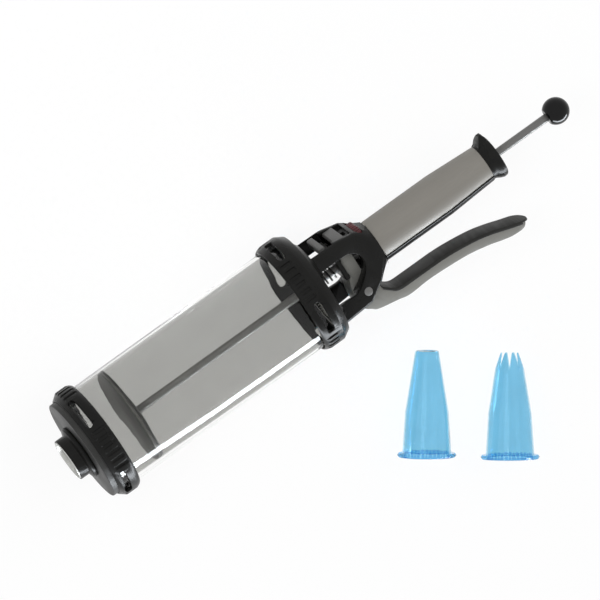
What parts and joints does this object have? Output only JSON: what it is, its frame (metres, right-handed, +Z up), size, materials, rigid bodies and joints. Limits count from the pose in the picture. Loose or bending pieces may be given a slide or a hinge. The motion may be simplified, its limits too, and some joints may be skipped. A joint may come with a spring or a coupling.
{
  "type": "pastry syringe",
  "caption": "Lever-action pastry syringe with a clear barrel, bayonet collars, a plunger rod with a ball knob, a dose slider, a release button and push-on nozzles.",
  "frame": {"origin": "the barrel's axis at the front face of the nose", "axes": "+X along the barrel from the nose to the ball knob, +Y towards the thumb side of the handle, +Z up from the table the syringe lies on"},
  "size_m": [0.4401, 0.2616, 0.088],
  "materials": {
    "clear_plastic": "clear, glossy",
    "seal_rubber": "matte",
    "black_plastic": "satin moulded",
    "grey_plastic": "satin",
    "polished_metal": "turned, polished",
    "rod_steel": "polished",
    "gloss_black": "glossy",
    "bush_plastic": "smooth",
    "spring_steel": "bright wire",
    "tab_grey": "satin",
    "red_plastic": "glossy",
    "lever_steel": "satin",
    "sleeve_metal": "satin",
    "blue_plastic": "translucent, glossy"
  },
  "bodies": {
    "barrel": {"barrel_tube": "clear_plastic", "front_seal": "seal_rubber", "rear_seal": "seal_rubber", "front_plate": "grey_plastic", "body_frame": "black_plastic", "rod_bushes": "bush_plastic", "drive_spring": "spring_steel", "lock_spring": "spring_steel", "lever_pin": "rod_steel", "pin_clip": "rod_steel", "pivot_washers": "bush_plastic", "grip_sleeve": "sleeve_metal", "grip_end_cap": "black_plastic"},
    "front_collar": {"front_collar": "black_plastic"},
    "rear_collar": {"rear_collar": "black_plastic"},
    "nose": {"nose_ring": "black_plastic", "nose_sleeve": "polished_metal"},
    "plunger": {"piston_disc": "grey_plastic", "piston_seal": "seal_rubber", "piston_backing": "grey_plastic", "piston_hub": "grey_plastic", "plunger_rod": "rod_steel", "ball_knob": "gloss_black"},
    "lever": {"lever": "lever_steel", "lever_grip": "black_plastic"},
    "drive": {"drive_plate": "black_plastic", "drive_tab": "tab_grey"},
    "slider": {"dose_slider": "tab_grey"},
    "button": {"release_button": "red_plastic"},
    "lock": {"lock_plate": "rod_steel"},
    "plain_nozzle": {"nozzle_plain": "blue_plastic"},
    "star_nozzle": {"nozzle_star": "blue_plastic"}
  },
  "joints": [
    {"name": "plunger_slide", "type": "slide", "parent": "barrel", "child": "plunger", "axis": [1, 0, 0], "range_m": [-0.0325, 0.1505]},
    {"name": "lever_squeeze", "type": "hinge", "parent": "barrel", "child": "lever", "pos_m": [0.2438, -0.0203, 0], "axis": [0, 0, 1], "range_deg": [0, 14], "stiffness_Nm_per_rad": 1.2, "springref_deg": -20.05},
    {"name": "drive_slide", "type": "slide", "parent": "barrel", "child": "drive", "axis": [1, 0, 0], "range_m": [-0.006, 0], "deforming": ["drive_spring"]},
    {"name": "dose_slide", "type": "slide", "parent": "barrel", "child": "slider", "axis": [1, 0, 0], "range_m": [0, 0.0035]},
    {"name": "release_press", "type": "slide", "parent": "barrel", "child": "button", "axis": [0, -1, 0], "range_m": [0, 0.0015], "stiffness_N_per_m": 600, "springref_m": -0.001},
    {"name": "lock_tilt", "type": "hinge", "parent": "barrel", "child": "lock", "pos_m": [0.2612, -0.0112, 0], "axis": [0, 0, 1], "range_deg": [0, 3.6], "deforming": ["lock_spring"]},
    {"name": "front_collar_turn", "type": "hinge", "parent": "barrel", "child": "front_collar", "pos_m": [0.0247, 0, 0], "axis": [1, 0, 0], "range_deg": [0, 45]},
    {"name": "rear_collar_turn", "type": "hinge", "parent": "barrel", "child": "rear_collar", "pos_m": [0.2068, 0, 0], "axis": [1, 0, 0], "range_deg": [0, 45]},
    {"name": "nose_ring_turn", "type": "hinge", "parent": "barrel", "child": "nose", "pos_m": [0.006, 0, 0], "axis": [1, 0, 0], "range_deg": [0, 90]},
    {"name": "nozzle_plain_lift", "type": "slide", "parent": "barrel", "child": "plain_nozzle", "axis": [0, 0, 1], "range_m": [0, 0.06]},
    {"name": "nozzle_star_lift", "type": "slide", "parent": "barrel", "child": "star_nozzle", "axis": [0, 0, 1], "range_m": [0, 0.06]}
  ],
  "couplings": [
    {"joint": "drive_slide", "follows": "lever_squeeze", "m_per_rad": -0.0221},
    {"joint": "lock_tilt", "follows": "release_press", "rad_per_m": 41.67}
  ]
}
